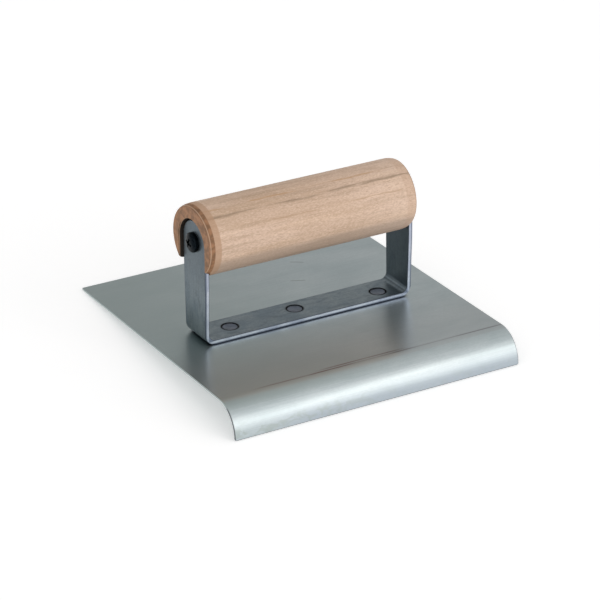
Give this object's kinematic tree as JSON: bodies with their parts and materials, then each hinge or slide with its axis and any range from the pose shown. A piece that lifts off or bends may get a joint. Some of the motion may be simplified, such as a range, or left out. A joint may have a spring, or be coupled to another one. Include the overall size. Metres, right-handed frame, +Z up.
{
  "type": "concrete edger",
  "caption": "Hand edger for concrete: square sheet-steel blade with a rounded front lip, a U-shaped strap bracket and a round wooden handle.",
  "frame": {"origin": "middle of the blade's flat underside, which slides on the concrete", "axes": "+X along the lip and the handle, +Y from the lip towards the blade's back edge, +Z up out of the concrete"},
  "size_m": [0.1524, 0.1524, 0.083],
  "materials": {
    "brushed_steel": "brushed along the lip",
    "dark_steel": "dull mill finish",
    "wood": "satin, pale close-grained hardwood",
    "black_steel": "black oxide",
    "welded_steel": "heat-tinted spot weld"
  },
  "bodies": {
    "root": {"blade": "brushed_steel", "bracket": "dark_steel", "handle": "wood", "screw_left": "black_steel", "screw_right": "black_steel", "spot_weld_left": "welded_steel", "spot_weld_middle": "welded_steel", "spot_weld_right": "welded_steel"}
  },
  "joints": []
}
